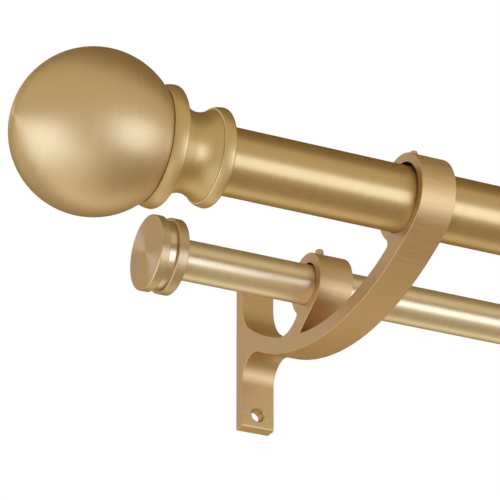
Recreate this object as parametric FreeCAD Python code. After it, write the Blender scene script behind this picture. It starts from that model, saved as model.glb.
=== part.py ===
import FreeCAD, Part
import math
import os

# A double curtain pole with two ball finials, two plain end caps and two wall brackets.
# Lengths are in millimetres. X runs along the poles, the wall is the plane y = 0, the
# room is on the -Y side and Z is up. The origin is on the wall face of the left bracket,
# midway between its two screw holes.
# A station is a distance from the middle of a bracket outwards, towards the pole's end.

# Poles: an inner tube slides in each outer tube
front_tube_radius = 12.7
back_tube_radius = 7.9375
tube_wall = 0.8
tube_step = 1.5875
mouth_lip_length = 2.4
bracket_spacing = 545.0
mouth_clear_of_bracket = 12.9
front_reach = 136.6
back_reach = 60.9
front_axis_height = 7.34
back_axis_height = 2.58

# Fits
sliding_fit = 0.08
seat_fit = 0.05
thread_fit = 0.05
resting_gap = 0.03
stud_hole_clearance = 0.3

# Brackets
bracket_width = 14.25
plate_thickness = 5.3
plate_edge_round = 1.0
screw_spacing = 62.0
screw_to_plate_end = 6.0
screw_hole_radius = 2.65
hole_edge_break = 0.5
arm_low_reach = 78.0
arm_low_drop = 24.4
arm_thickness = 6.2
arm_under_radius = 127.5
arm_top_wall_radius = 115.0
arm_top_room_radius = 116.0
arm_root_fillet = 9.5
arm_throat_radius = 16.0
front_ring_slack = 0.72
back_ring_slack = 0.46
front_ring_wall = 3.6
back_ring_wall = 4.0
front_notch_round = 2.0
back_notch_round = 1.2
crotch_round = 0.5
neck_slope = 33.0
neck_back_radius = 15.0
neck_back_reach = 42.5
bracket_edge_break = 0.35

# Set screws
set_screw_radius = 1.65
set_screw_length = 8.0
set_screw_off_middle = 0.9
set_screw_key_sides = 6
set_screw_key_flats = 1.6
set_screw_key_depth = 2.0
set_screw_end_chamfer = 0.4

# Ball finials
collar_mouth_station = 83.0
collar_socket_depth = 10.0
bead_height = 5.85
bead_edge_round = 1.3
bead_band_radius = 7.0
bead_ridge_run = 3.5
bead_shoulder_round = 0.45
bead_shoulder_step = 0.25
neck_station = 94.2
neck_height = 2.23
neck_hollow_radius = 8.7
flange_face_station = 103.3
flange_height = 10.0
flange_foot_fillet = 1.0
flange_edge_round = 1.3
flange_band_radius = 7.5
flange_rim_station = 109.0
ball_station = 131.1
ball_radius = 30.3
ball_wall = 1.2
ball_seat_gap = 0.1
bush_radius = 8.0
bush_length = 9.0
finial_stud_radius = 3.0

# End caps of the back pole
cap_back_station = 64.0
cap_height = 6.9
cap_rear_disc = 4.4
cap_groove_width = 3.4
cap_groove_depth = 1.35
cap_front_disc = 3.8
cap_edge_round = 0.5
cap_socket_depth = 7.0
cap_stud_radius = 2.5
cap_stud_bite = 3.0

# End plugs and glides
plug_flange = 1.0
front_plug_length = 16.0
back_plug_length = 12.0
plug_sleeve_show = 0.5
plug_lead_in = 1.0
glide_collar_length = 6.0
glide_spigot_length = 12.0
glide_wall = 1.6
parking_gap = 4.0
stud_end_gap = 1.0

# Sizes that follow from the values above
plate_height = screw_spacing + 2 * screw_to_plate_end
right_middle = bracket_spacing
mouth_x = bracket_spacing - bracket_width / 2 - mouth_clear_of_bracket
arm_low_height = -arm_low_drop


class Pole:
    """One pole: its axis, its tubes and the ring that carries it."""

    def __init__(self, radius, reach, height, slack, ring_wall, socket, plug_length, stud_radius):
        self.radius = radius
        self.bore = radius - tube_wall
        self.inner_radius = radius - tube_step
        self.inner_bore = self.inner_radius - tube_wall
        self.reach = reach
        self.height = height
        self.ring_bore = radius + slack
        self.ring_radius = self.ring_bore + ring_wall
        self.ring_height = height + slack - resting_gap
        self.mouth_station, socket_depth = socket
        self.end_station = self.mouth_station + socket_depth - plug_flange
        self.plug_length = plug_length
        self.stud_radius = stud_radius
        self.glide_x = -self.end_station + plug_length + parking_gap
        self.hidden_x = self.glide_x + glide_collar_length


front = Pole(front_tube_radius, front_reach, front_axis_height, front_ring_slack, front_ring_wall,
             (collar_mouth_station, collar_socket_depth), front_plug_length, finial_stud_radius)
back = Pole(back_tube_radius, back_reach, back_axis_height, back_ring_slack, back_ring_wall,
            (cap_back_station, cap_socket_depth), back_plug_length, cap_stud_radius)


# Plane geometry

def along(start, towards, distance):
    """The point at a distance from start on the line towards another point."""
    dx = towards[0] - start[0]
    dy = towards[1] - start[1]
    length = math.hypot(dx, dy)
    return (start[0] + dx * distance / length, start[1] + dy * distance / length)


def circles_meet(centre_a, radius_a, centre_b, radius_b, side):
    """Where two circles cross, on the left (1) or right (-1) of the line from a to b."""
    dx = centre_b[0] - centre_a[0]
    dy = centre_b[1] - centre_a[1]
    apart = math.hypot(dx, dy)
    forward = (radius_a ** 2 - radius_b ** 2 + apart ** 2) / (2 * apart)
    aside = side * math.sqrt(radius_a ** 2 - forward ** 2)
    return (centre_a[0] + (dx * forward - dy * aside) / apart,
            centre_a[1] + (dy * forward + dx * aside) / apart)


def arc_between(centre, start, end, turn):
    """Halfway point and end of an arc about a centre, anticlockwise (1) or clockwise (-1)."""
    radius = math.dist(centre, start)
    angle_start = math.atan2(start[1] - centre[1], start[0] - centre[0])
    angle_end = math.atan2(end[1] - centre[1], end[0] - centre[0])
    sweep = (turn * (angle_end - angle_start)) % (2 * math.pi)
    middle = angle_start + turn * sweep / 2
    return ((centre[0] + radius * math.cos(middle), centre[1] + radius * math.sin(middle)), end)


def face_from(start, steps, place):
    """A flat face. Each step is a point for a line, or a halfway point and an end for an arc."""
    edges = []
    here = start
    for step in steps:
        if isinstance(step[0], tuple):
            middle, there = step
            edges.append(Part.Arc(place(here), place(middle), place(there)).toShape())
        else:
            there = step
            edges.append(Part.LineSegment(place(here), place(there)).toShape())
        here = there
    if math.dist(here, start) > 1e-6:
        edges.append(Part.LineSegment(place(here), place(start)).toShape())
    return Part.Face(Part.Wire(edges))


def turned(start, steps, middle_x, side, pole):
    """A solid turned about a pole's axis from an outline of (station, radius) points."""
    def place(point):
        return FreeCAD.Vector(middle_x + side * point[0], -pole.reach, pole.height + point[1])

    axis_point = FreeCAD.Vector(middle_x, -pole.reach, pole.height)
    return face_from(start, steps, place).revolve(axis_point, FreeCAD.Vector(1, 0, 0), 360)


# Wall brackets

def arm_under_room_radius():
    """Radius of the arm's underside that runs from its lowest point into the front ring."""
    out = front.reach - arm_low_reach
    rise = front.ring_height - arm_low_height
    return (out ** 2 + rise ** 2 - front.ring_radius ** 2) / (2 * (rise - front.ring_radius))


def bracket_outline():
    """The bracket seen from its side, as (distance from the wall, height) points.

    Every curve is an arc that runs smoothly into the next: plate, arm, front ring, back
    along the top of the arm, up the neck, round the back ring and down into the throat.
    """
    low = (arm_low_reach, arm_low_height)
    top_low = (arm_low_reach, arm_low_height + arm_thickness)
    under_wall = (low[0], low[1] + arm_under_radius)
    under_room = (low[0], low[1] + arm_under_room_radius())
    top_wall = (top_low[0], top_low[1] + arm_top_wall_radius)
    top_room = (top_low[0], top_low[1] + arm_top_room_radius)
    front_ring = (front.reach, front.ring_height)
    back_ring = (back.reach, back.ring_height)

    # Fillet under the arm, against the plate
    root_out = plate_thickness + arm_root_fillet
    root_drop = math.sqrt((arm_under_radius + arm_root_fillet) ** 2 - (low[0] - root_out) ** 2)
    root = (root_out, under_wall[1] - root_drop)
    root_plate = (plate_thickness, root[1])
    root_arm = along(root, under_wall, arm_root_fillet)

    # The underside runs into the outside of the front ring
    ring_start = along(under_room, front_ring, arm_under_room_radius())

    # Notch between the front ring and the top of the arm
    notch = circles_meet(top_room, arm_top_room_radius - front_notch_round,
                         front_ring, front.ring_radius + front_notch_round, -1)
    notch_ring = along(notch, front_ring, front_notch_round)
    notch_arm = along(top_room, notch, arm_top_room_radius)

    # The neck's room side is straight and touches the back ring
    slope = math.radians(neck_slope)
    ahead = (math.cos(slope), math.sin(slope))
    neck_end = (back_ring[0] + back.ring_radius * ahead[1], back_ring[1] - back.ring_radius * ahead[0])
    # Crotch between the top of the arm and the neck: its centre is one radius off each
    foot = (neck_end[0] + crotch_round * ahead[1], neck_end[1] - crotch_round * ahead[0])
    gap_x = foot[0] - top_wall[0]
    gap_y = foot[1] - top_wall[1]
    half_b = gap_x * ahead[0] + gap_y * ahead[1]
    reach_squared = (arm_top_wall_radius - crotch_round) ** 2
    run = -half_b - math.sqrt(half_b ** 2 - gap_x ** 2 - gap_y ** 2 + reach_squared)
    crotch = (foot[0] + run * ahead[0], foot[1] + run * ahead[1])
    crotch_arm = along(top_wall, crotch, arm_top_wall_radius)
    crotch_neck = (crotch[0] - crotch_round * ahead[1], crotch[1] + crotch_round * ahead[0])

    # The neck's wall side is an arc that leaves the arm and ends in a notch at the ring
    neck_back_drop = math.sqrt((arm_top_wall_radius - neck_back_radius) ** 2
                               - (top_wall[0] - neck_back_reach) ** 2)
    neck_back = (neck_back_reach, top_wall[1] - neck_back_drop)
    nick = circles_meet(neck_back, neck_back_radius - back_notch_round,
                        back_ring, back.ring_radius + back_notch_round, -1)
    nick_ring = along(nick, back_ring, back_notch_round)
    nick_neck = along(neck_back, nick, neck_back_radius)
    neck_back_arm = along(top_wall, neck_back, arm_top_wall_radius)

    # Throat: the wide fillet between the top of the arm and the plate
    throat_out = plate_thickness + arm_throat_radius
    throat_drop = math.sqrt((arm_top_wall_radius - arm_throat_radius) ** 2
                            - (top_wall[0] - throat_out) ** 2)
    throat = (throat_out, top_wall[1] - throat_drop)
    throat_arm = along(top_wall, throat, arm_top_wall_radius)
    throat_plate = (plate_thickness, throat[1])

    half = plate_height / 2
    edge = plate_thickness - plate_edge_round
    start = (0, -half)
    steps = [
        (edge, -half),
        arc_between((edge, plate_edge_round - half), (edge, -half),
                    (plate_thickness, plate_edge_round - half), 1),
        root_plate,
        arc_between(root, root_plate, root_arm, -1),
        arc_between(under_wall, root_arm, low, 1),
        arc_between(under_room, low, ring_start, 1),
        arc_between(front_ring, ring_start, notch_ring, 1),
        arc_between(notch, notch_ring, notch_arm, -1),
        arc_between(top_room, notch_arm, top_low, -1),
        arc_between(top_wall, top_low, crotch_arm, -1),
        arc_between(crotch, crotch_arm, crotch_neck, -1),
        neck_end,
        arc_between(back_ring, neck_end, nick_ring, 1),
        arc_between(nick, nick_ring, nick_neck, -1),
        arc_between(neck_back, nick_neck, neck_back_arm, -1),
        arc_between(top_wall, neck_back_arm, throat_arm, -1),
        arc_between(throat, throat_arm, throat_plate, -1),
        (plate_thickness, half - plate_edge_round),
        arc_between((edge, half - plate_edge_round), (plate_thickness, half - plate_edge_round),
                    (edge, half), 1),
        (0, half),
    ]
    return start, steps


def screw_hole(middle_x, height):
    """A hole through the wall plate, with its room-side edge broken."""
    into_wall = FreeCAD.Vector(0, 1, 0)
    plate_front = FreeCAD.Vector(middle_x, -plate_thickness, height)
    hole = Part.makeCylinder(screw_hole_radius, plate_thickness, plate_front, into_wall)
    wide = screw_hole_radius + hole_edge_break
    return hole.fuse(Part.makeCone(wide, screw_hole_radius, hole_edge_break, plate_front, into_wall))


def bracket(middle_x, raised):
    """A wall bracket cut from one bar: plate, arm and two rings. raised lifts it on the wall."""
    near_x = middle_x - bracket_width / 2

    def place(point):
        return FreeCAD.Vector(near_x, -point[0], point[1] + raised)

    start, steps = bracket_outline()
    body = face_from(start, steps, place).extrude(FreeCAD.Vector(bracket_width, 0, 0))
    side_edges = [edge for edge in body.Edges if edge.BoundBox.XLength < bracket_edge_break]
    body = body.makeChamfer(bracket_edge_break, side_edges)

    for pole in (front, back):
        centre = FreeCAD.Vector(near_x, -pole.reach, pole.ring_height + raised)
        bore = Part.makeCylinder(pole.ring_bore, bracket_width, centre, FreeCAD.Vector(1, 0, 0))
        body = body.cut(bore)
        thread_start = FreeCAD.Vector(middle_x - set_screw_off_middle, -pole.reach,
                                      pole.ring_height + raised)
        thread = Part.makeCylinder(set_screw_radius + thread_fit, 2 * pole.ring_radius,
                                   thread_start, FreeCAD.Vector(0, 0, 1))
        body = body.cut(thread)
    for height in (-screw_spacing / 2, screw_spacing / 2):
        body = body.cut(screw_hole(middle_x, height + raised))
    return body


def set_screw(middle_x, pole, tube_radius):
    """A headless screw down through the top of a ring, with its foot on the tube."""
    screw_x = middle_x - set_screw_off_middle
    foot = pole.height + tube_radius + seat_fit
    top = foot + set_screw_length
    chamfer = set_screw_end_chamfer

    def place(point):
        return FreeCAD.Vector(screw_x + point[0], -pole.reach, point[1])

    outline = [
        (set_screw_radius - 2 * chamfer, foot),
        (set_screw_radius, foot + 2 * chamfer),
        (set_screw_radius, top - chamfer),
        (set_screw_radius - chamfer, top),
        (0, top),
    ]
    axis = FreeCAD.Vector(screw_x, -pole.reach, 0)
    screw = face_from((0, foot), outline, place).revolve(axis, FreeCAD.Vector(0, 0, 1), 360)
    reach = set_screw_key_flats / 2 / math.cos(math.pi / set_screw_key_sides)
    corners = []
    for corner in range(set_screw_key_sides + 1):
        angle = 2 * math.pi * corner / set_screw_key_sides
        corners.append(FreeCAD.Vector(screw_x + reach * math.cos(angle),
                                      -pole.reach + reach * math.sin(angle), top))
    key_hole = Part.Face(Part.makePolygon(corners)).extrude(FreeCAD.Vector(0, 0, -set_screw_key_depth))
    return screw.cut(key_hole)


# Tubes

def outer_tube(pole):
    """The fixed tube, whose open mouth is rolled in to guide the sliding tube."""
    guide = pole.inner_radius + sliding_fit
    roll = tube_wall
    lip_x = mouth_x - mouth_lip_length
    steps = [
        (mouth_x - roll, pole.radius),
        arc_between((mouth_x - roll, pole.radius - roll), (mouth_x - roll, pole.radius),
                    (mouth_x, pole.radius - roll), -1),
        (mouth_x, guide),
        (lip_x, guide),
        (lip_x - (pole.bore - guide), pole.bore),
        (-pole.end_station, pole.bore),
    ]
    return turned((-pole.end_station, pole.radius), steps, 0, 1, pole)


def inner_tube(pole):
    """The sliding tube, from its glide inside the outer tube to the right end."""
    end_x = right_middle + pole.end_station
    steps = [
        (end_x, pole.inner_radius),
        (end_x, pole.inner_bore),
        (pole.hidden_x, pole.inner_bore),
    ]
    return turned((pole.hidden_x, pole.inner_radius), steps, 0, 1, pole)


def glide(pole):
    """A nylon glide: a spigot in the hidden end of the sliding tube, and a collar that slides."""
    collar = pole.bore - sliding_fit
    spigot = pole.inner_bore - seat_fit
    hole = spigot - glide_wall
    steps = [
        (pole.hidden_x, collar),
        (pole.hidden_x, spigot),
        (pole.hidden_x + glide_spigot_length, spigot),
        (pole.hidden_x + glide_spigot_length, hole),
        (pole.glide_x, hole),
    ]
    return turned((pole.glide_x, collar), steps, 0, 1, pole)


def end_plug(pole, middle_x, side, tube_radius, tube_bore):
    """A nylon plug with a threaded hole, in the end of a tube.

    On the sliding tube it also has a sleeve outside, as thick as the step between tubes.
    """
    spigot = tube_bore - seat_fit
    hole = pole.stud_radius + thread_fit
    inner = pole.end_station - pole.plug_length
    outer = pole.end_station + plug_flange
    steps = [
        (outer, hole),
        (outer, pole.radius),
    ]
    if tube_radius < pole.radius:
        sleeve_end = pole.mouth_station - plug_sleeve_show
        steps += [
            (sleeve_end, pole.radius),
            (sleeve_end, tube_radius + seat_fit),
            (pole.end_station, tube_radius + seat_fit),
        ]
    else:
        steps.append((pole.end_station, pole.radius))
    steps += [
        (pole.end_station, spigot),
        (inner + plug_lead_in, spigot),
        (inner, spigot - plug_lead_in),
    ]
    return turned((inner, hole), steps, middle_x, side, pole)


# Ball finials

def collar(middle_x, side):
    """The finial's neck: a bead at the tube, a flared hollow, and a flange dished for the ball."""
    bead_radius = front.radius + bead_height
    crest = (collar_mouth_station + bead_edge_round, bead_radius)
    bead_corner = (crest[0], bead_radius - bead_edge_round)
    band = (crest[0], bead_radius - bead_band_radius)
    hollow = (neck_station, front.radius + neck_height + neck_hollow_radius)

    # The bead ends in a fine rounded shoulder, and from its foot a straight flare touches the hollow
    shoulder_run = bead_ridge_run - bead_shoulder_round
    shoulder_rise = math.sqrt((bead_band_radius - bead_shoulder_round) ** 2 - shoulder_run ** 2)
    shoulder = (band[0] + shoulder_run, band[1] + shoulder_rise)
    shoulder_start = along(band, shoulder, bead_band_radius)
    shoulder_end = (shoulder[0] + bead_shoulder_round, shoulder[1])
    ridge = (shoulder_end[0], shoulder_end[1] - bead_shoulder_step)
    ridge_to_hollow = math.dist(ridge, hollow)
    flare = math.asin(neck_hollow_radius / ridge_to_hollow)
    flare -= math.atan2(hollow[1] - ridge[1], hollow[0] - ridge[0])
    hollow_drop = neck_hollow_radius * math.cos(flare)
    hollow_start = (neck_station - neck_hollow_radius * math.sin(flare), hollow[1] - hollow_drop)
    hollow_end = (neck_station + neck_hollow_radius * math.sin(flare), hollow[1] - hollow_drop)

    # The other flare ends in a fillet at the flat back of the flange
    foot_station = flange_face_station - flange_foot_fillet
    foot = (foot_station, hollow_end[1] + math.tan(flare) * (foot_station - hollow_end[0])
            + flange_foot_fillet / math.cos(flare))
    foot_start = (foot[0] + flange_foot_fillet * math.sin(flare),
                  foot[1] - flange_foot_fillet * math.cos(flare))
    foot_end = (flange_face_station, foot[1])
    flange_radius = front.radius + flange_height
    flange_crest = (flange_face_station + flange_edge_round, flange_radius)
    flange_corner = (flange_crest[0], flange_radius - flange_edge_round)
    flange_band = (flange_crest[0], flange_radius - flange_band_radius)
    rim_run = flange_rim_station - flange_crest[0]
    rim = (flange_rim_station, flange_band[1] + math.sqrt(flange_band_radius ** 2 - rim_run ** 2))

    # The dish that the ball sits in
    middle = (ball_station, 0)
    dish_radius = ball_radius + ball_seat_gap
    dish_run = ball_station - flange_rim_station
    dish_edge = (flange_rim_station, math.sqrt(dish_radius ** 2 - dish_run ** 2))
    hole = finial_stud_radius + stud_hole_clearance
    dish_foot = (ball_station - math.sqrt(dish_radius ** 2 - hole ** 2), hole)
    socket = front.radius + seat_fit
    socket_end = collar_mouth_station + collar_socket_depth
    steps = [
        (collar_mouth_station, bead_corner[1]),
        arc_between(bead_corner, (collar_mouth_station, bead_corner[1]), crest, -1),
        arc_between(band, crest, shoulder_start, -1),
        arc_between(shoulder, shoulder_start, shoulder_end, -1),
        ridge,
        hollow_start,
        arc_between(hollow, hollow_start, hollow_end, 1),
        foot_start,
        arc_between(foot, foot_start, foot_end, 1),
        (flange_face_station, flange_corner[1]),
        arc_between(flange_corner, (flange_face_station, flange_corner[1]), flange_crest, -1),
        arc_between(flange_band, flange_crest, rim, -1),
        dish_edge,
        arc_between(middle, dish_edge, dish_foot, 1),
        (socket_end, hole),
        (socket_end, socket),
    ]
    return turned((collar_mouth_station, socket), steps, middle_x, side, front)


def ball(middle_x, side):
    """A spun hollow ball with a hole for the stud."""
    centre = FreeCAD.Vector(middle_x + side * ball_station, -front.reach, front.height)
    hole = finial_stud_radius + stud_hole_clearance
    inside = ball_radius - ball_wall
    outer_start = (ball_station - math.sqrt(ball_radius ** 2 - hole ** 2), hole)
    inner_start = (ball_station - math.sqrt(inside ** 2 - hole ** 2), hole)
    middle = (ball_station, 0)
    steps = [
        arc_between(middle, outer_start, (ball_station + ball_radius, 0), -1),
        (ball_station + inside, 0),
        arc_between(middle, (ball_station + inside, 0), inner_start, 1),
    ]
    return turned(outer_start, steps, middle_x, side, front)


def ball_bush(middle_x, side):
    """The threaded bush fixed inside the ball, behind its hole."""
    inside = ball_radius - ball_wall - seat_fit
    hole = finial_stud_radius + thread_fit
    near = (ball_station - math.sqrt(inside ** 2 - hole ** 2), hole)
    rim = (ball_station - math.sqrt(inside ** 2 - bush_radius ** 2), bush_radius)
    far = near[0] + bush_length
    steps = [
        arc_between((ball_station, 0), near, rim, -1),
        (far, bush_radius),
        (far, hole),
    ]
    return turned(near, steps, middle_x, side, front)


def stud(pole, middle_x, side, outer):
    """A plain stud from inside the tube's end plug to the station of its outer end."""
    inner = pole.end_station - pole.plug_length + stud_end_gap
    radius = pole.stud_radius
    start = FreeCAD.Vector(middle_x + side * inner, -pole.reach, pole.height)
    return Part.makeCylinder(radius, outer - inner, start, FreeCAD.Vector(side, 0, 0))


def finial_stud(middle_x, side):
    """The stud that screws the ball and the collar to the front pole."""
    bush_end = ball_station - ball_radius + ball_wall + bush_length
    return stud(front, middle_x, side, bush_end - stud_end_gap)


# End caps

def end_cap(middle_x, side):
    """A turned cap for the back pole: two discs with a groove between, and a socket behind."""
    radius = back.radius + cap_height
    floor = radius - cap_groove_depth
    socket = back.radius + seat_fit
    socket_end = cap_back_station + cap_socket_depth
    stud_end = socket_end + cap_stud_bite
    stud_hole = cap_stud_radius + thread_fit
    groove_back = cap_back_station + cap_rear_disc
    groove_front = groove_back + cap_groove_width
    cap_front = groove_front + cap_front_disc
    edge = cap_edge_round

    def corner(station, towards):
        """A rounded corner of a disc at a station; its flat side faces away from the disc."""
        inside = station - towards * edge
        flat = (station, radius - edge)
        round_start, round_end = ((inside, radius), flat) if towards > 0 else (flat, (inside, radius))
        return [round_start, arc_between((inside, radius - edge), round_start, round_end, -1)]

    steps = corner(cap_back_station, -1)
    steps += corner(groove_back, 1)
    steps += [(groove_back, floor), (groove_front, floor)]
    steps += corner(groove_front, -1)
    steps += corner(cap_front, 1)
    steps += [
        (cap_front, 0),
        (stud_end, 0),
        (stud_end, stud_hole),
        (socket_end, stud_hole),
        (socket_end, socket),
    ]
    return turned((cap_back_station, socket), steps, middle_x, side, back)


def cap_stud(middle_x, side):
    """The stud that screws a cap to the back pole."""
    hole_end = cap_back_station + cap_socket_depth + cap_stud_bite
    return stud(back, middle_x, side, hole_end - seat_fit)


def build():
    """Every piece of the double pole, by name."""
    pieces = {
        "bracket_left": bracket(0, 0),
        "bracket_right": bracket(right_middle, tube_step),
    }
    for name, pole in (("front", front), ("back", back)):
        pieces[name + "_outer_tube"] = outer_tube(pole)
        pieces[name + "_inner_tube"] = inner_tube(pole)
        pieces[name + "_glide"] = glide(pole)
        pieces[name + "_set_screw_left"] = set_screw(0, pole, pole.radius)
        pieces[name + "_set_screw_right"] = set_screw(right_middle, pole, pole.inner_radius)
        pieces[name + "_end_plug_left"] = end_plug(pole, 0, -1, pole.radius, pole.bore)
        pieces[name + "_end_plug_right"] = end_plug(pole, right_middle, 1, pole.inner_radius,
                                                    pole.inner_bore)
    for name, middle_x, side in (("left", 0, -1), ("right", right_middle, 1)):
        pieces["ball_" + name] = ball(middle_x, side)
        pieces["ball_bush_" + name] = ball_bush(middle_x, side)
        pieces["collar_" + name] = collar(middle_x, side)
        pieces["finial_stud_" + name] = finial_stud(middle_x, side)
        pieces["end_cap_" + name] = end_cap(middle_x, side)
        pieces["end_cap_stud_" + name] = cap_stud(middle_x, side)
    return pieces


os.makedirs("parts", exist_ok=True)
for piece_name, shape in build().items():
    shape.exportStep("parts/" + piece_name + ".step")
    print(piece_name, shape.isValid(), len(shape.Solids), round(shape.Volume, 2))
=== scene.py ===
"""A double curtain pole in brushed gold: finishes, fine meshes, studio light and camera."""
import math

import bmesh
import bpy
from mathutils import Matrix, Vector


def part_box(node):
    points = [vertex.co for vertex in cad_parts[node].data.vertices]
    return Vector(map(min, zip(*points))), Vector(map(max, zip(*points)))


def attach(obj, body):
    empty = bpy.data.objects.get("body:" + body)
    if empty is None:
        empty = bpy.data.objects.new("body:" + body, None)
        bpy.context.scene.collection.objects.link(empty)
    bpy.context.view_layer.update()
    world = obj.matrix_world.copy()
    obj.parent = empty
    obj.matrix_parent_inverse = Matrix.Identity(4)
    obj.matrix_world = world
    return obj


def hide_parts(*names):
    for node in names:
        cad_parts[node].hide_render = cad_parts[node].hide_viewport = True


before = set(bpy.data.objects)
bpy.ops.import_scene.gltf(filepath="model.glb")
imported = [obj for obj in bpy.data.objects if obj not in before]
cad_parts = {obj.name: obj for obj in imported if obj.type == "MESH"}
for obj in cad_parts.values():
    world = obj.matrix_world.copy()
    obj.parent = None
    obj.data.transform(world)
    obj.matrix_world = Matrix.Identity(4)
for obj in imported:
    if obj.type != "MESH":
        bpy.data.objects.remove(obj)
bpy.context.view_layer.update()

# Metres, in the part's own frame: X runs along the poles, the wall is y = 0, Z is up.
MM = 0.001
LEFT, RIGHT = "left_half", "right_half"

# Brackets: the CAD's edge break, and the rounds made in its place
edge_break = 0.35 * MM
edge_round = 0.2 * MM
bore_edge_round = 0.25 * MM

# Wall-screw holes through a bracket's plate, each with its edge broken at the front
plate_thickness = 5.3 * MM
wall_hole_spacing = 62.0 * MM
wall_hole_radius = 2.65 * MM
wall_hole_break = 0.5 * MM
cut_beyond = 1.0 * MM

# Set screws: thread, with the edges of its crest and root as shares of a pitch
thread_depth = 0.33 * MM
thread_pitch = 0.6 * MM
thread_steps = 36
thread_fit = 0.05 * MM
crest_edges = (0.0, 0.125)
root_edges = (0.45, 0.675)
screw_chamfer = 0.4 * MM

# Set screws: hexagon socket
socket_sides = 6
socket_flats = 1.6 * MM
socket_depth = 2.0 * MM

# Collars: short steps of the outline, this far out or farther, belong to small rounded edges that get a
# painted highlight
highlight_width = 0.12 * MM
highlight_radius = 14.0 * MM

# End caps: how squarely a flat face looks along X, and how deep the groove's glossier finish with its
# painted highlight begins
flat_facing = 0.9
groove_depth = 1.0 * MM

# Mesh fineness, with an area in square metres
round_steps = 160
bore_steps = 120
hole_steps = 60
arris_steps = 4
same_place = 0.002 * MM
joined_within = 0.5 * same_place
no_area = 1e-14
sharp_turn = math.radians(20)
bracket_sharp_turn = math.radians(24)

# A stretch this many times as long as its neighbour gets a support point this far from its end
long_stretch = 3
support = 0.05 * MM

# Numbers of a bracket's materials, where the faces round its outline have 0
FLAT, BORE = 1, 2

# Brushed and plain finishes: shares of the colour in the dark and in the pale grain
brushed_contrast = (0.86, 1.12)
plain_contrast = (0.92, 1.06)

# The grain's usual range, and what it does to roughness and relief
grain_range = (0.3, 0.7)
roughness_swing = 0.05
line_relief = 0.02 * MM

# Turned lines: their width, and the scale and share of the fine and the broad ones
turned_width = 0.5 * MM
fine_lines = (3.0, 0.6)
broad_lines = (0.6, 0.4)

# Straight lines: how finely they change along X, Y and Z, and the same for plain grain
bar_scales = (60.0, 3000.0, 3000.0)
side_scales = (1000.0, 2500.0, 120.0)
plain_scale = 900.0

# Metal: its tint at a low angle, and the turn of its stretched highlights
edge_tint = (0.6, 0.47, 0.31)
quarter_turn = 0.25

# Matt cards and floor: the darker share of the colour, its scale, and the roughness
matt_shade = 0.98
matt_scale = 2.0
matt_roughness = 0.9

# Camera, fitted to the photograph
camera_azimuth = math.radians(-26.56)
camera_elevation = math.radians(-24.462)
camera_place = Vector((-0.524711, -1.047815, -0.489457))
camera_lens = 225.34
camera_sensor = 36.0
camera_clip = (0.05, 60.0)

# Studio
studio_middle = Vector((0, -0.08, 0))
world_colour = (0.69, 0.655, 0.55)
floor_colour = (0.71, 0.64, 0.49)
floor_height = -4.6
floor_size = 80.0
backdrop_colour = (0.8, 0.8, 0.8)
backdrop_distance = 9.0
backdrop_margin = 1.06
lamp_distance = 4.2

# Lamps: place and half sizes in degrees as seen from the object, radiance and tint
lamps = (
    ("key", (-19, 33), (17, 26), 1.95, (0.78, 1.02, 1.6)),
    ("left", (-105, -68), (34, 22), 1.6, (0.78, 1.02, 1.6)),
    ("front_low", (-87, -22), (41, 13), 0.45, (0.92, 1.0, 1.1)),
    ("wall_low", (-133, 15), (13, 38), 0.44, (0.97, 1.08, 1.45)),
    ("back_left", (155, -30), (28, 20), 0.22, (0.8, 1.0, 1.5)),
)

# Shade cards for reflections: place and half sizes as for lamps, distance and colour
flags = (
    ("ceiling_flag", (123, 22), (57, 36), 9.0, (0.5, 0.405, 0.295)),
    ("low_flag", (-82, 26), (21, 30), 4.3, (0.38, 0.3, 0.19)),
)


# Node helpers

class Nodes:
    """A short way to add and join the nodes of one material or world."""

    def __init__(self, tree):
        self.tree = tree

    def add(self, kind, **values):
        node = self.tree.nodes.new(kind)
        for key, value in values.items():
            setattr(node, key, value)
        return node

    def join(self, source, target):
        self.tree.links.new(source, target)

    def feed(self, target, value):
        """Joins a socket, or sets a plain value."""
        if isinstance(value, bpy.types.NodeSocket):
            self.join(value, target)
        else:
            target.default_value = value

    def math(self, operation, a, b=0.0):
        node = self.add("ShaderNodeMath", operation=operation)
        self.feed(node.inputs[0], a)
        self.feed(node.inputs[1], b)
        return node.outputs[0]

    def vector(self, operation, a, b):
        node = self.add("ShaderNodeVectorMath", operation=operation)
        self.feed(node.inputs[0], a)
        self.feed(node.inputs[1], b)
        return node.outputs["Vector"]

    def split(self, vector):
        node = self.add("ShaderNodeSeparateXYZ")
        self.join(vector, node.inputs[0])
        return node.outputs

    def combine(self, x, y, z):
        node = self.add("ShaderNodeCombineXYZ")
        for socket, value in zip(node.inputs, (x, y, z)):
            self.feed(socket, value)
        return node.outputs[0]

    def noise(self, vector, scale, detail=2.0):
        node = self.add("ShaderNodeTexNoise")
        self.join(vector, node.inputs["Vector"])
        node.inputs["Scale"].default_value = scale
        node.inputs["Detail"].default_value = detail
        return node.outputs["Fac"]

    def ranged(self, value, low, high, new_low, new_high):
        node = self.add("ShaderNodeMapRange")
        for socket, number in zip(node.inputs, (value, low, high, new_low, new_high)):
            self.feed(socket, number)
        return node.outputs[0]

    def mix_colour(self, share, a, b):
        """Mixes two colours: inputs 6 and 7 and output 2 are the node's colour sockets."""
        node = self.add("ShaderNodeMix", data_type="RGBA")
        self.feed(node.inputs[0], share)
        self.feed(node.inputs[6], a)
        self.feed(node.inputs[7], b)
        return node.outputs[2]


def new_material(name):
    """An empty material with a Principled shader joined to its output."""
    material = bpy.data.materials.new(name)
    material.use_nodes = True
    material.node_tree.nodes.clear()
    nodes = Nodes(material.node_tree)
    shader = nodes.add("ShaderNodeBsdfPrincipled")
    output = nodes.add("ShaderNodeOutputMaterial")
    nodes.join(shader.outputs[0], output.inputs["Surface"])
    return material, nodes, shader


# Finishes

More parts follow.
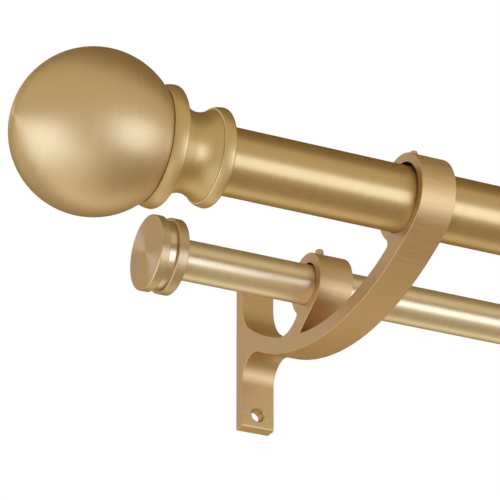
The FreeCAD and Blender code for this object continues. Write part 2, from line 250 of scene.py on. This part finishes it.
def grained(nodes, shader, grain, colour, contrast, roughness):
    """Colour and roughness that follow the same lines or grain."""
    dark_share, pale_share = contrast
    dark = [c * dark_share for c in colour] + [1]
    pale = [min(1, c * pale_share) for c in colour] + [1]
    nodes.join(nodes.mix_colour(grain, dark, pale), shader.inputs["Base Color"])
    swung = nodes.ranged(grain, *grain_range, roughness - roughness_swing, roughness + roughness_swing)
    nodes.join(swung, shader.inputs["Roughness"])


def brushed(nodes, shader, lines, colour, roughness, bump_strength):
    """Bare metal whose colour, roughness and relief follow the same fine lines."""
    grained(nodes, shader, lines, colour, brushed_contrast, roughness)
    shader.inputs["Metallic"].default_value = 1.0
    shader.inputs["Specular Tint"].default_value = (*edge_tint, 1)
    bump = nodes.add("ShaderNodeBump")
    bump.inputs["Strength"].default_value = bump_strength
    bump.inputs["Distance"].default_value = line_relief
    nodes.join(lines, bump.inputs["Height"])
    nodes.join(bump.outputs[0], shader.inputs["Normal"])


def turned_gold(name, axis, colour, roughness, anisotropy):
    """Satin gold with fine lines that run round a pole's axis, as left by turning."""
    material, nodes, shader = new_material(name)
    place = nodes.add("ShaderNodeTexCoord").outputs["Object"]
    x, y, z = nodes.split(nodes.vector("SUBTRACT", place, (0, *axis)))
    radial = nodes.math("SQRT", nodes.math("ADD", nodes.math("MULTIPLY", y, y),
                                           nodes.math("MULTIPLY", z, z)))
    along = nodes.math("MULTIPLY", nodes.math("ADD", x, radial), 1 / turned_width)
    line_place = nodes.combine(along, nodes.math("DIVIDE", y, radial), nodes.math("DIVIDE", z, radial))
    lines = nodes.math("ADD", *[nodes.math("MULTIPLY", nodes.noise(line_place, scale), share)
                                for scale, share in (fine_lines, broad_lines)])
    brushed(nodes, shader, lines, colour, roughness, bump_strength=0.25)
    shader.inputs["Anisotropic"].default_value = anisotropy
    shader.inputs["Anisotropic Rotation"].default_value = quarter_turn
    tangent = nodes.add("ShaderNodeTangent", direction_type="RADIAL", axis="X")
    nodes.join(tangent.outputs[0], shader.inputs["Tangent"])
    return material


def bar_gold(name, colour, roughness, anisotropy):
    """Satin gold with fine lines along X, on the faces round a bracket's outline."""
    material, nodes, shader = new_material(name)
    place = nodes.add("ShaderNodeTexCoord").outputs["Object"]
    lines = nodes.noise(nodes.vector("MULTIPLY", place, bar_scales), 1.0)
    brushed(nodes, shader, lines, colour, roughness, bump_strength=0.1)
    shader.inputs["Anisotropic"].default_value = anisotropy
    normal = nodes.add("ShaderNodeNewGeometry").outputs["Normal"]
    nodes.join(nodes.vector("CROSS_PRODUCT", normal, (1, 0, 0)), shader.inputs["Tangent"])
    return material


def side_gold(name, colour, roughness):
    """Even satin gold with faint upright lines, for a bracket's sawn sides."""
    material, nodes, shader = new_material(name)
    place = nodes.add("ShaderNodeTexCoord").outputs["Object"]
    lines = nodes.noise(nodes.vector("MULTIPLY", place, side_scales), 1.0)
    brushed(nodes, shader, lines, colour, roughness, bump_strength=0.15)
    return material


def plain_finish(name, colour, roughness, metallic):
    """An even finish with a fine grain."""
    material, nodes, shader = new_material(name)
    place = nodes.add("ShaderNodeTexCoord").outputs["Object"]
    grain = nodes.noise(place, plain_scale, detail=3.0)
    grained(nodes, shader, grain, colour, plain_contrast, roughness)
    shader.inputs["Metallic"].default_value = metallic
    return material


def middle_of(node):
    """The middle of a node's box."""
    return [(low + high) / 2 for low, high in zip(*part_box(node))]


# The (y, z) places of the two pole axes
front_axis = middle_of("front_outer_tube")[1:]
back_axis = middle_of("back_outer_tube")[1:]

front_gold = turned_gold("front_pole_gold", front_axis, colour=(0.638, 0.449, 0.198),
                         roughness=0.40, anisotropy=0.6)
# The back pole's gold is paler than the front pole's: painted light that makes the back pole look more
# brightly lit than the front one
back_painted_light_gold = turned_gold("back_pole_painted_light_gold", back_axis, colour=(0.867, 0.696, 0.42),
                        roughness=0.43, anisotropy=0.6)
ball_gold = turned_gold("ball_gold", front_axis, colour=(0.70, 0.51, 0.262),
                        roughness=0.48, anisotropy=0.6)
collar_gold = turned_gold("collar_gold", front_axis, colour=(0.68, 0.495, 0.216),
                          roughness=0.48, anisotropy=0.6)
# Glossier gold for the collars' small rounded edges, with a paler colour that is a painted highlight
edge_highlight_gold = turned_gold("edge_highlight_gold", front_axis, colour=(0.80, 0.62, 0.36),
                        roughness=0.26, anisotropy=0.4)
cap_gold = turned_gold("cap_gold", back_axis, colour=(0.66, 0.49, 0.25),
                       roughness=0.46, anisotropy=0.3)
cap_face_gold = turned_gold("cap_face_gold", back_axis, colour=(0.59, 0.418, 0.243),
                            roughness=0.36, anisotropy=0.85)
# Glossier gold for the end caps' groove, with a paler colour that is a painted highlight
cap_groove_highlight_gold = turned_gold("cap_groove_highlight_gold", back_axis, colour=(0.76, 0.60, 0.38),
                              roughness=0.34, anisotropy=0.4)
bracket_gold = bar_gold("bracket_gold", colour=(0.668, 0.446, 0.198), roughness=0.45, anisotropy=0.6)
bracket_side_gold = side_gold("bracket_side_gold", colour=(0.57, 0.39, 0.215), roughness=0.46)
# The bores' near-black brown is painted shade: it stands in for the shade inside the rings round the
# poles
bore_painted_shade = plain_finish("bore_painted_shade", colour=(0.16, 0.08, 0.03), roughness=0.45, metallic=1.0)
screw_brass = plain_finish("screw_brass", colour=(0.76, 0.62, 0.40), roughness=0.26, metallic=1.0)
nylon = plain_finish("nylon", colour=(0.8, 0.79, 0.75), roughness=0.5, metallic=0.0)
zinc_steel = plain_finish("zinc_steel", colour=(0.62, 0.63, 0.65), roughness=0.35, metallic=1.0)
bracket_finishes = (bracket_gold, bracket_side_gold, bore_painted_shade)


# Meshes

def joined_copy(node):
    """A node's mesh as a mesh for editing, with its doubled points joined."""
    mesh = bmesh.new()
    mesh.from_mesh(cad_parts[node].data)
    bmesh.ops.remove_doubles(mesh, verts=mesh.verts, dist=joined_within)
    return mesh


def linked_object(name, mesh):
    """Turns an edit mesh into an object in the scene."""
    data = bpy.data.meshes.new(name)
    mesh.to_mesh(data)
    mesh.free()
    made = bpy.data.objects.new(name, data)
    bpy.context.scene.collection.objects.link(made)
    return made


def finished_piece(name, mesh, materials, body, node):
    """Turns an edit mesh into a piece that rides on a body in place of a node."""
    piece = linked_object(name, mesh)
    for material in materials:
        piece.data.materials.append(material)
    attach(piece, body)
    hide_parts(node)
    return piece


def mark_sharp(mesh, angle=sharp_turn):
    """Shades a mesh smooth, apart from the edges that turn by more than an angle."""
    for face in mesh.faces:
        face.smooth = True
    for edge in mesh.edges:
        if len(edge.link_faces) == 2 and edge.calc_face_angle() > angle:
            edge.smooth = False


def walk(points):
    """Points of a mesh in order along the edges between them, and whether they close."""
    left = set(points)

    def beside(point):
        return [edge.other_vert(point) for edge in point.link_edges if edge.other_vert(point) in left]

    ends = [point for point in points if len(beside(point)) == 1]
    here = min(ends or points, key=lambda point: tuple(point.co))
    ordered = []
    while here:
        ordered.append(here.co.copy())
        left.discard(here)
        following = sorted(beside(here), key=lambda point: tuple(point.co))
        here = following[0] if following else None
    return ordered, not ends


def supported(outline, closed):
    """The outline with a point close beside each end of a long stretch that bends softly."""
    count = len(outline)
    result = []
    for index, here in enumerate(outline):
        before = outline[index - 1]
        after = outline[(index + 1) % count]
        if not closed and index in (0, count - 1):
            result.append(here)
            continue
        back_step = Vector(here) - Vector(before)
        next_step = Vector(after) - Vector(here)
        soft = back_step.angle(next_step) < sharp_turn
        if soft and back_step.length > long_stretch * next_step.length:
            result.append(tuple(Vector(here) - back_step.normalized() * support))
        result.append(here)
        if soft and next_step.length > long_stretch * back_step.length:
            result.append(tuple(Vector(here) + next_step.normalized() * support))
    return result


# Turned pieces

def turn(mesh, outline, place, steps, closed):
    """Faces of an outline of (station, radius) points turned about an axis.

    place gives the point at a station, a radius and an angle.
    """
    rings = []
    for station, radius in outline:
        if radius < same_place:
            rings.append([mesh.verts.new(place(station, 0, 0))] * steps)
        else:
            rings.append([mesh.verts.new(place(station, radius, math.tau * step / steps))
                          for step in range(steps)])
    following = rings[1:] + rings[:1] if closed else rings[1:]
    for ring, next_ring in zip(rings, following):
        for step in range(steps):
            after = (step + 1) % steps
            corners = (ring[step], ring[after], next_ring[after], next_ring[step])
            mesh.faces.new(list(dict.fromkeys(corners)))


def ended_on_axis(outline):
    """An open outline whose two ends are brought straight to the axis where they stop short."""
    if outline[0][1] > same_place:
        outline = [(outline[0][0], 0.0)] + outline
    if outline[-1][1] > same_place:
        outline = outline + [(outline[-1][0], 0.0)]
    return outline


def turned_piece(node, axis, material, body):
    """A turned node made again with finer steps, from the outline on its seam."""
    copy = joined_copy(node)
    seam = [point for point in copy.verts
            if abs(point.co.y - axis[0]) < same_place and point.co.z > axis[1] - same_place]
    ordered, closed = walk(seam)
    copy.free()
    outline = [(point.x, max(0.0, point.z - axis[1])) for point in ordered]
    if not closed:
        outline = ended_on_axis(outline)

    def place(station, radius, angle):
        return (station, axis[0] + radius * math.sin(angle), axis[1] + radius * math.cos(angle))

    mesh = bmesh.new()
    turn(mesh, supported(outline, closed), place, round_steps, closed)
    bmesh.ops.recalc_face_normals(mesh, faces=mesh.faces)
    mark_sharp(mesh)
    return finished_piece(node + "_turned", mesh, [material], body, node)


def distance_from(axis, place):
    """How far a place lies from the axis of a pole."""
    return math.hypot(place.y - axis[0], place.z - axis[1])


def collar_piece(node, body):
    """A turned collar whose small rounded edges are glossier and painted paler than the rest, as a
    painted highlight.
    """
    piece = turned_piece(node, front_axis, collar_gold, body)
    piece.data.materials.append(edge_highlight_gold)
    for face in piece.data.polygons:
        radius = distance_from(front_axis, face.center)
        width = face.area / (math.tau * radius / round_steps)
        if radius > highlight_radius and width < highlight_width:
            face.material_index = 1


def end_cap_piece(node, body):
    """A turned end cap whose flat faces have a finish of their own, and whose groove is glossier and
    painted paler, as a painted highlight.
    """
    piece = turned_piece(node, back_axis, cap_gold, body)
    piece.data.materials.append(cap_face_gold)
    piece.data.materials.append(cap_groove_highlight_gold)
    low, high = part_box(node)
    groove_radius = (high.z - low.z) / 2 - groove_depth
    for face in piece.data.polygons:
        if abs(face.normal.x) > flat_facing:
            face.material_index = 1
        elif distance_from(back_axis, face.center) < groove_radius:
            face.material_index = 2


# Screw holes and set screws

def upright(centre, radius, angle, z):
    """A point at a radius and an angle about an upright axis."""
    return (centre[0] + radius * math.cos(angle), centre[1] + radius * math.sin(angle), z)


def hole_cutter(name, outline, place):
    """A turned solid that is cut out of a bracket."""
    mesh = bmesh.new()
    turn(mesh, outline, place, hole_steps, False)
    bmesh.ops.recalc_face_normals(mesh, faces=mesh.faces)
    return linked_object(name, mesh)


def wall_middle_height(node):
    """The height midway between a bracket's wall holes: the middle of its plate at the wall."""
    at_wall = [point.co.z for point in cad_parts[node].data.vertices
               if abs(point.co.y) < same_place]
    return (min(at_wall) + max(at_wall)) / 2


def bracket_cutters(node, screws):
    """Tools for the wall-screw holes and for the set screws' holes through the ring tops."""
    middle_x = middle_of(node)[0]
    hole = [(cut_beyond, 0), (cut_beyond, wall_hole_radius),
            (wall_hole_break - plate_thickness, wall_hole_radius),
            (-plate_thickness - cut_beyond, wall_hole_radius + wall_hole_break + cut_beyond),
            (-plate_thickness - cut_beyond, 0)]
    cutters = []
    for side in (-1, 1):
        height = wall_middle_height(node) + side * wall_hole_spacing / 2

        def through_plate(station, radius, angle):
            return (middle_x + radius * math.cos(angle), station, height + radius * math.sin(angle))

        cutters.append(hole_cutter("wall_hole", hole, through_plate))
    for screw in screws:
        low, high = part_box(screw)
        centre = middle_of(screw)
        wide = (high.x - low.x) / 2 + thread_fit
        bore = [(low.z, 0), (low.z, wide), (high.z + cut_beyond, wide), (high.z + cut_beyond, 0)]

        def down_ring(station, radius, angle):
            return upright(centre, radius, angle, station)

        cutters.append(hole_cutter("thread_hole", bore, down_ring))
    return cutters


def add_thread(mesh, centre, low, high, crest):
    """The winding surface of a thread from a low to a high z, with both ends chamfered."""
    root = crest - thread_depth
    section = [(share, crest) for share in crest_edges] + [(share, root) for share in root_edges]

    def widest(z):
        return min(crest, crest - 2 * screw_chamfer + z - low, crest - screw_chamfer + high - z)

    turns = math.ceil((high - low) / thread_pitch) + 1
    columns = []
    for step in range(turns * thread_steps + 1):
        angle = math.tau * step / thread_steps
        column = []
        for share, radius in section:
            z = low + thread_pitch * (step / thread_steps - 1 + share)
            z = max(low, min(high, z))
            column.append(mesh.verts.new(upright(centre, min(radius, widest(z)), angle, z)))
        columns.append(column)
    for step in range(len(columns) - 1):
        for index in range(len(section) - 1):
            mesh.faces.new((columns[step][index], columns[step + 1][index],
                            columns[step + 1][index + 1], columns[step][index + 1]))
        if step + 1 + thread_steps < len(columns):
            mesh.faces.new((columns[step][-1], columns[step + 1][-1],
                            columns[step + 1 + thread_steps][0], columns[step + thread_steps][0]))
    bmesh.ops.remove_doubles(mesh, verts=mesh.verts, dist=joined_within)
    flat = [face for face in mesh.faces if face.calc_area() < no_area]
    bmesh.ops.delete(mesh, geom=flat, context="FACES")
    loose = [point for point in mesh.verts if not point.link_faces]
    bmesh.ops.delete(mesh, geom=loose, context="VERTS")


def rim_at(mesh, z):
    """The open edges of a mesh at a height."""
    return [edge for edge in mesh.edges if len(edge.link_faces) == 1
            and all(abs(point.co.z - z) < same_place for point in edge.verts)]


def screw_piece(node, body):
    """A headless screw with a real thread and a hexagon socket."""
    low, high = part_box(node)
    centre = middle_of(node)
    mesh = bmesh.new()
    add_thread(mesh, centre, low.z, high.z, (high.x - low.x) / 2)
    foot = rim_at(mesh, low.z)
    top = rim_at(mesh, high.z)
    bmesh.ops.edgeloop_fill(mesh, edges=foot)
    reach = socket_flats / 2 / math.cos(math.pi / socket_sides)
    mouth, floor = [[mesh.verts.new(upright(centre, reach, math.tau * side / socket_sides, z))
                     for side in range(socket_sides)] for z in (high.z, high.z - socket_depth)]
    for side in range(socket_sides):
        mesh.faces.new((mouth[side - 1], mouth[side], floor[side], floor[side - 1]))
    mesh.faces.new(floor)
    top += [mesh.edges.get((mouth[side - 1], mouth[side])) for side in range(socket_sides)]
    bmesh.ops.triangle_fill(mesh, edges=top, use_beauty=True)
    bmesh.ops.recalc_face_normals(mesh, faces=mesh.faces)
    mark_sharp(mesh)
    finished_piece(node + "_threaded", mesh, [screw_brass], body, node)


# Brackets

def rims_at(mesh, x):
    """The closed loops of a mesh's sharp edges in a plane across X, longest first."""
    beside = {}
    for edge in mesh.edges:
        here, there = edge.verts
        in_plane = abs(here.co.x - x) < same_place and abs(there.co.x - x) < same_place
        if in_plane and edge.calc_face_angle(0) > sharp_turn:
            beside.setdefault(here, []).append(there)
            beside.setdefault(there, []).append(here)
    loops = []
    while beside:
        point = next(iter(beside))
        loop = []
        while point in beside:
            loop.append((point.co.y, point.co.z))
            following = [other for other in beside.pop(point) if other in beside]
            point = following[0] if following else None
        loops.append(loop)
    return sorted(loops, key=len, reverse=True)


def anticlockwise(loop):
    """A (y, z) loop in the order that leaves its inside on the left."""
    area = sum(loop[index - 1][0] * here[1] - here[0] * loop[index - 1][1]
               for index, here in enumerate(loop))
    return loop if area > 0 else loop[::-1]


def inset(loop, distance):
    """An anticlockwise (y, z) loop moved inwards, each point along its mitre."""
    moved = []
    for index, here in enumerate(loop):
        before = Vector(here) - Vector(loop[index - 1])
        after = Vector(loop[(index + 1) % len(loop)]) - Vector(here)
        out_before = Vector((before.y, -before.x)).normalized()
        out_after = Vector((after.y, -after.x)).normalized()
        mitre = (out_before + out_after) / (1 + out_before.dot(out_after))
        moved.append(tuple(Vector(here) - mitre * distance))
    return moved


def rounded_edges(low_x, high_x, radius):
    """The rounded edges of both sides as (x, retreat) pairs, each with a support behind it."""
    rows = []
    for step in range(arris_steps + 1):
        angle = math.pi / 2 * step / arris_steps
        rows.append((radius * (1 - math.cos(angle)), radius * (1 - math.sin(angle))))
    rows.append((radius + support, 0.0))
    return ([(low_x + deep, retreat) for deep, retreat in rows]
            + [(high_x - deep, retreat) for deep, retreat in reversed(rows)])


def add_bore(mesh, loop, low_x, high_x):
    """Adds a bore with rounded edges where a loop lies, and gives its rims in both sides."""
    ys, zs = zip(*loop)
    centre = ((min(ys) + max(ys)) / 2, (min(zs) + max(zs)) / 2)
    bore_radius = (max(ys) - min(ys)) / 2
    wall = [(x, bore_radius + retreat) for x, retreat in rounded_edges(low_x, high_x, bore_edge_round)]
    first_point = len(mesh.verts)
    first_face = len(mesh.faces)

    def place(station, radius, angle):
        return (station, centre[0] + radius * math.cos(angle), centre[1] + radius * math.sin(angle))

    turn(mesh, wall, place, bore_steps, False)
    mesh.verts.ensure_lookup_table()
    mesh.faces.ensure_lookup_table()
    edge_faces = arris_steps * bore_steps
    # The bore's wall between its rounded edges takes the painted shade
    for face in mesh.faces[first_face + edge_faces:len(mesh.faces) - edge_faces]:
        face.material_index = BORE
    last_ring = len(mesh.verts) - bore_steps
    return mesh.verts[first_point:first_point + bore_steps], mesh.verts[last_ring:]


def fill_side(mesh, rims):
    """A flat side between an outline and the bores in it."""
    edges = []
    for rim in rims:
        edges += [mesh.edges.get((rim[index - 1], rim[index])) for index in range(len(rim))]
    filled = bmesh.ops.triangle_fill(mesh, edges=edges, use_beauty=True)
    for face in filled["geom"]:
        if isinstance(face, bmesh.types.BMFace):
            face.material_index = FLAT


def bracket_blank(node):
    """A bracket with rounded edges and both bores, from the CAD's outlines, before its holes."""
    low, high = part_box(node)
    copy = joined_copy(node)
    outline = supported(anticlockwise(rims_at(copy, low.x + edge_break)[0]), True)
    # The side's own outline comes first, and then the rims of the two bores
    bore_loops = rims_at(copy, low.x)[1:3]
    copy.free()
    mesh = bmesh.new()
    rings = [[mesh.verts.new((x, *point)) for point in inset(outline, retreat)]
             for x, retreat in rounded_edges(low.x, high.x, edge_round)]
    for ring, next_ring in zip(rings, rings[1:]):
        for index in range(len(outline)):
            mesh.faces.new((ring[index - 1], ring[index], next_ring[index], next_ring[index - 1]))
    bores = [add_bore(mesh, loop, low.x, high.x) for loop in bore_loops]
    fill_side(mesh, [rings[0]] + [left_rim for left_rim, right_rim in bores])
    fill_side(mesh, [rings[-1]] + [right_rim for left_rim, right_rim in bores])
    bmesh.ops.recalc_face_normals(mesh, faces=mesh.faces)
    blank = linked_object(node + "_blank", mesh)
    for material in bracket_finishes:
        blank.data.materials.append(material)
    return blank


def bracket_piece(node, screws, body):
    """A bracket made again with rounded edges, with its screw holes cut through."""
    blank = bracket_blank(node)
    cutters = bracket_cutters(node, screws)
    for cutter in cutters:
        cut = blank.modifiers.new("cut", "BOOLEAN")
        cut.operation = "DIFFERENCE"
        cut.solver = "EXACT"
        cut.object = cutter
    evaluated = blank.evaluated_get(bpy.context.evaluated_depsgraph_get())
    mesh = bmesh.new()
    mesh.from_mesh(evaluated.to_mesh())
    evaluated.to_mesh_clear()
    for tool in cutters + [blank]:
        bpy.data.objects.remove(tool)
    mark_sharp(mesh, bracket_sharp_turn)
    for face in mesh.faces:
        face.smooth = face.material_index != FLAT
    finished_piece(node + "_shaped", mesh, bracket_finishes, body, node)


# Pieces

def paint(node, material):
    """Gives a finish to a node that keeps its mesh from the CAD."""
    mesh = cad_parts[node].data
    mesh.materials.clear()
    mesh.materials.append(material)


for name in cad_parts:
    if "plug" in name or "glide" in name:
        paint(name, nylon)
    elif "stud" in name or "bush" in name:
        paint(name, zinc_steel)

for side, body in (("left", LEFT), ("right", RIGHT)):
    screws = ["front_set_screw_" + side, "back_set_screw_" + side]
    bracket_piece("bracket_" + side, screws, body)
    for screw in screws:
        screw_piece(screw, body)
    turned_piece("ball_" + side, front_axis, ball_gold, body)
    collar_piece("collar_" + side, body)
    end_cap_piece("end_cap_" + side, body)
for pole, axis, material in (("front", front_axis, front_gold), ("back", back_axis, back_painted_light_gold)):
    turned_piece(pole + "_outer_tube", axis, material, LEFT)
    turned_piece(pole + "_inner_tube", axis, material, RIGHT)


# Camera and studio

def add_camera():
    camera = bpy.data.objects.new("camera", bpy.data.cameras.new("camera"))
    bpy.context.scene.collection.objects.link(camera)
    camera.location = camera_place
    ahead = Vector((-math.sin(camera_azimuth) * math.cos(camera_elevation),
                    math.cos(camera_azimuth) * math.cos(camera_elevation),
                    -math.sin(camera_elevation)))
    camera.rotation_mode = "QUATERNION"
    camera.rotation_quaternion = ahead.to_track_quat("-Z", "Y")
    camera.data.lens = camera_lens
    camera.data.sensor_width = camera_sensor
    camera.data.clip_start, camera.data.clip_end = camera_clip
    bpy.context.scene.camera = camera


def direction(roll, axial):
    """A direction from the object: roll about X from the room side upwards, axial towards +X."""
    roll, axial = math.radians(roll), math.radians(axial)
    return Vector((math.sin(axial), -math.cos(axial) * math.cos(roll), math.cos(axial) * math.sin(roll)))


def facing(roll, axial, distance):
    """A place far from the object, turned to face it: sides along roll and across it."""
    out = direction(roll, axial)
    along_roll = Vector((0, math.sin(math.radians(roll)), math.cos(math.radians(roll))))
    across = out.cross(along_roll)
    turned = Matrix((along_roll, across, out)).transposed().to_4x4()
    turned.translation = studio_middle + out * distance
    return turned


def sides(half_roll, half_across, distance):
    """The sides of a rectangle that is seen from the object at two half angles."""
    return (2 * distance * math.tan(math.radians(half_roll)),
            2 * distance * math.tan(math.radians(half_across)))


def add_lamp(name, place, half_sizes, radiance, tint):
    """A rectangular soft lamp of a given brightness, seen from the object at a given size."""
    data = bpy.data.lights.new(name, "AREA")
    data.shape = "RECTANGLE"
    data.size, data.size_y = sides(*half_sizes, lamp_distance)
    data.energy = radiance * data.size * data.size_y * math.pi
    data.color = tint
    lamp = bpy.data.objects.new(name, data)
    lamp.matrix_world = facing(*place, lamp_distance)
    lamp.visible_camera = False
    bpy.context.scene.collection.objects.link(lamp)


def add_card(name, turned, width, height, material):
    """A flat stage card of a width and a height in a turned place."""
    corners = [turned @ Vector((a * width / 2, b * height / 2, 0))
               for a, b in ((-1, -1), (1, -1), (1, 1), (-1, 1))]
    data = bpy.data.meshes.new(name)
    data.from_pydata(corners, [], [(0, 1, 2, 3)])
    card = bpy.data.objects.new(name, data)
    card.data.materials.append(material)
    bpy.context.scene.collection.objects.link(card)
    return card


def add_flag(name, place, half_sizes, distance, colour):
    """A shade card that only reflections see."""
    flag = add_card(name, facing(*place, distance), *sides(*half_sizes, distance),
                    matt(name + "_cloth", colour))
    flag.visible_camera = False
    flag.visible_diffuse = False
    flag.visible_shadow = False


def behind_object():
    """A place far behind the object on the camera's line of sight, squared to the camera."""
    bpy.context.view_layer.update()
    camera = bpy.context.scene.camera
    return camera.matrix_world @ Matrix.Translation((0, 0, -backdrop_distance))


def matt(name, colour):
    """Matt cloth or floor with a faint, broad unevenness."""
    material, nodes, shader = new_material(name)
    place = nodes.add("ShaderNodeTexCoord").outputs["Object"]
    shade = [c * matt_shade for c in colour] + [1]
    mixed = nodes.mix_colour(nodes.noise(place, matt_scale), shade, [*colour, 1])
    nodes.join(mixed, shader.inputs["Base Color"])
    shader.inputs["Roughness"].default_value = matt_roughness
    return material


def white_backdrop():
    """White to the camera, to mirrors and through glass, and a pale card to anything else."""
    material, nodes, shader = new_material("white_backdrop")
    shader.inputs["Base Color"].default_value = (*backdrop_colour, 1)
    path = nodes.add("ShaderNodeLightPath")
    seen = nodes.math("MAXIMUM", path.outputs["Is Camera Ray"],
                      nodes.math("MAXIMUM", path.outputs["Is Glossy Ray"],
                                 path.outputs["Is Transmission Ray"]))
    white = nodes.add("ShaderNodeEmission")
    white.inputs["Strength"].default_value = 1.0
    mixed = nodes.add("ShaderNodeMixShader")
    nodes.join(seen, mixed.inputs[0])
    nodes.join(shader.outputs[0], mixed.inputs[1])
    nodes.join(white.outputs[0], mixed.inputs[2])
    output = next(node for node in material.node_tree.nodes if node.type == "OUTPUT_MATERIAL")
    nodes.join(mixed.outputs[0], output.inputs["Surface"])
    return material


def add_studio():
    floor = Matrix.Translation((0, 0, floor_height))
    add_card("floor", floor, floor_size, floor_size, matt("pale_floor", floor_colour))
    for flag in flags:
        add_flag(*flag)
    size = backdrop_margin * backdrop_distance * camera_sensor / camera_lens
    add_card("backdrop", behind_object(), size, size, white_backdrop())
    for lamp in lamps:
        add_lamp(*lamp)


def add_world():
    world = bpy.data.worlds.new("studio")
    bpy.context.scene.world = world
    world.use_nodes = True
    world.node_tree.nodes.clear()
    nodes = Nodes(world.node_tree)
    fill = nodes.add("ShaderNodeBackground")
    fill.inputs[0].default_value = (*world_colour, 1)
    output = nodes.add("ShaderNodeOutputWorld")
    nodes.join(fill.outputs[0], output.inputs[0])


add_camera()
add_world()
add_studio()
bpy.context.scene.view_settings.view_transform = "Standard"
